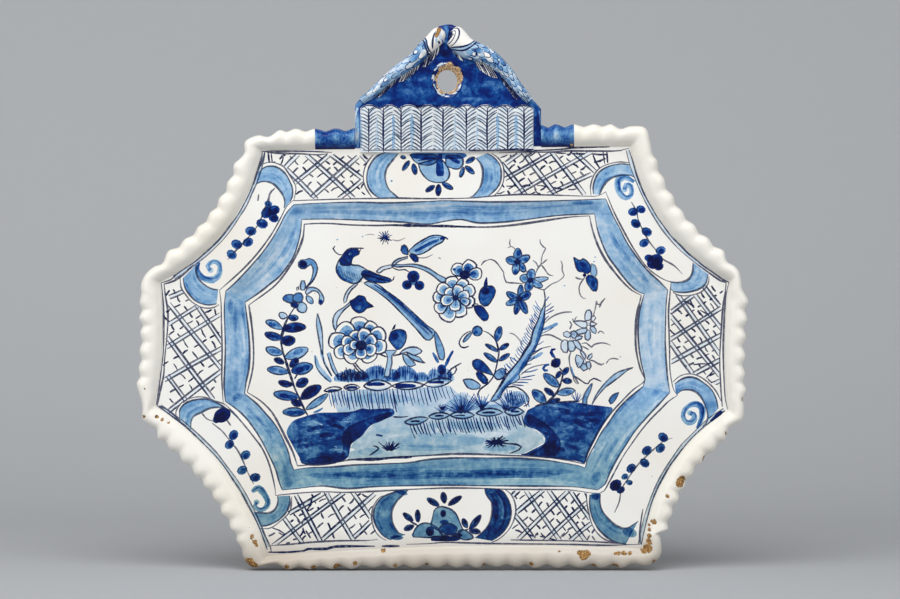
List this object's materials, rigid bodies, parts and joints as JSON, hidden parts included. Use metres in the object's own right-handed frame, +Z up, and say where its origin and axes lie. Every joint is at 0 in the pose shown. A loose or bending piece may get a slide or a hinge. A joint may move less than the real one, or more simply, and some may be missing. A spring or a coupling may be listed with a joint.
{
  "type": "earthenware wall plaque",
  "caption": "Eight-sided tin-glazed earthenware wall plaque with a fluted rim and a pierced crest of fish and feathers, painted in cobalt blue.",
  "frame": {"origin": "on the axis of the hanging hole, in the plane of the back that lies against the wall", "axes": "+Z up, +X to the viewer's right, +Y into the wall, so the painted front faces -Y"},
  "size_m": [0.3238, 0.0148, 0.2886],
  "materials": {
    "white_tin_glaze": "glossy opaque tin glaze, slightly uneven, with pinholes",
    "painted_tin_glaze": "glossy tin glaze painted in cobalt blue",
    "cobalt_blue_glaze": "glossy, streaky deep cobalt wash",
    "pale_blue_glaze": "glossy, watery cobalt wash",
    "fired_clay": "matt buff earthenware where glaze is chipped or worn away"
  },
  "bodies": {
    "root": {"slab": "painted_tin_glaze", "crest_board": "cobalt_blue_glaze", "feather_fringe": "painted_tin_glaze", "fish_left": "pale_blue_glaze", "fish_right": "pale_blue_glaze", "crest_foot_left": "cobalt_blue_glaze", "crest_foot_right": "cobalt_blue_glaze", "rim_top_left": "white_tin_glaze", "rim_top_right": "white_tin_glaze", "rim_upper_right": "white_tin_glaze", "rim_right": "white_tin_glaze", "rim_lower_right": "white_tin_glaze", "rim_bottom": "white_tin_glaze", "rim_lower_left": "white_tin_glaze", "rim_left": "white_tin_glaze", "rim_upper_left": "white_tin_glaze"}
  },
  "joints": []
}
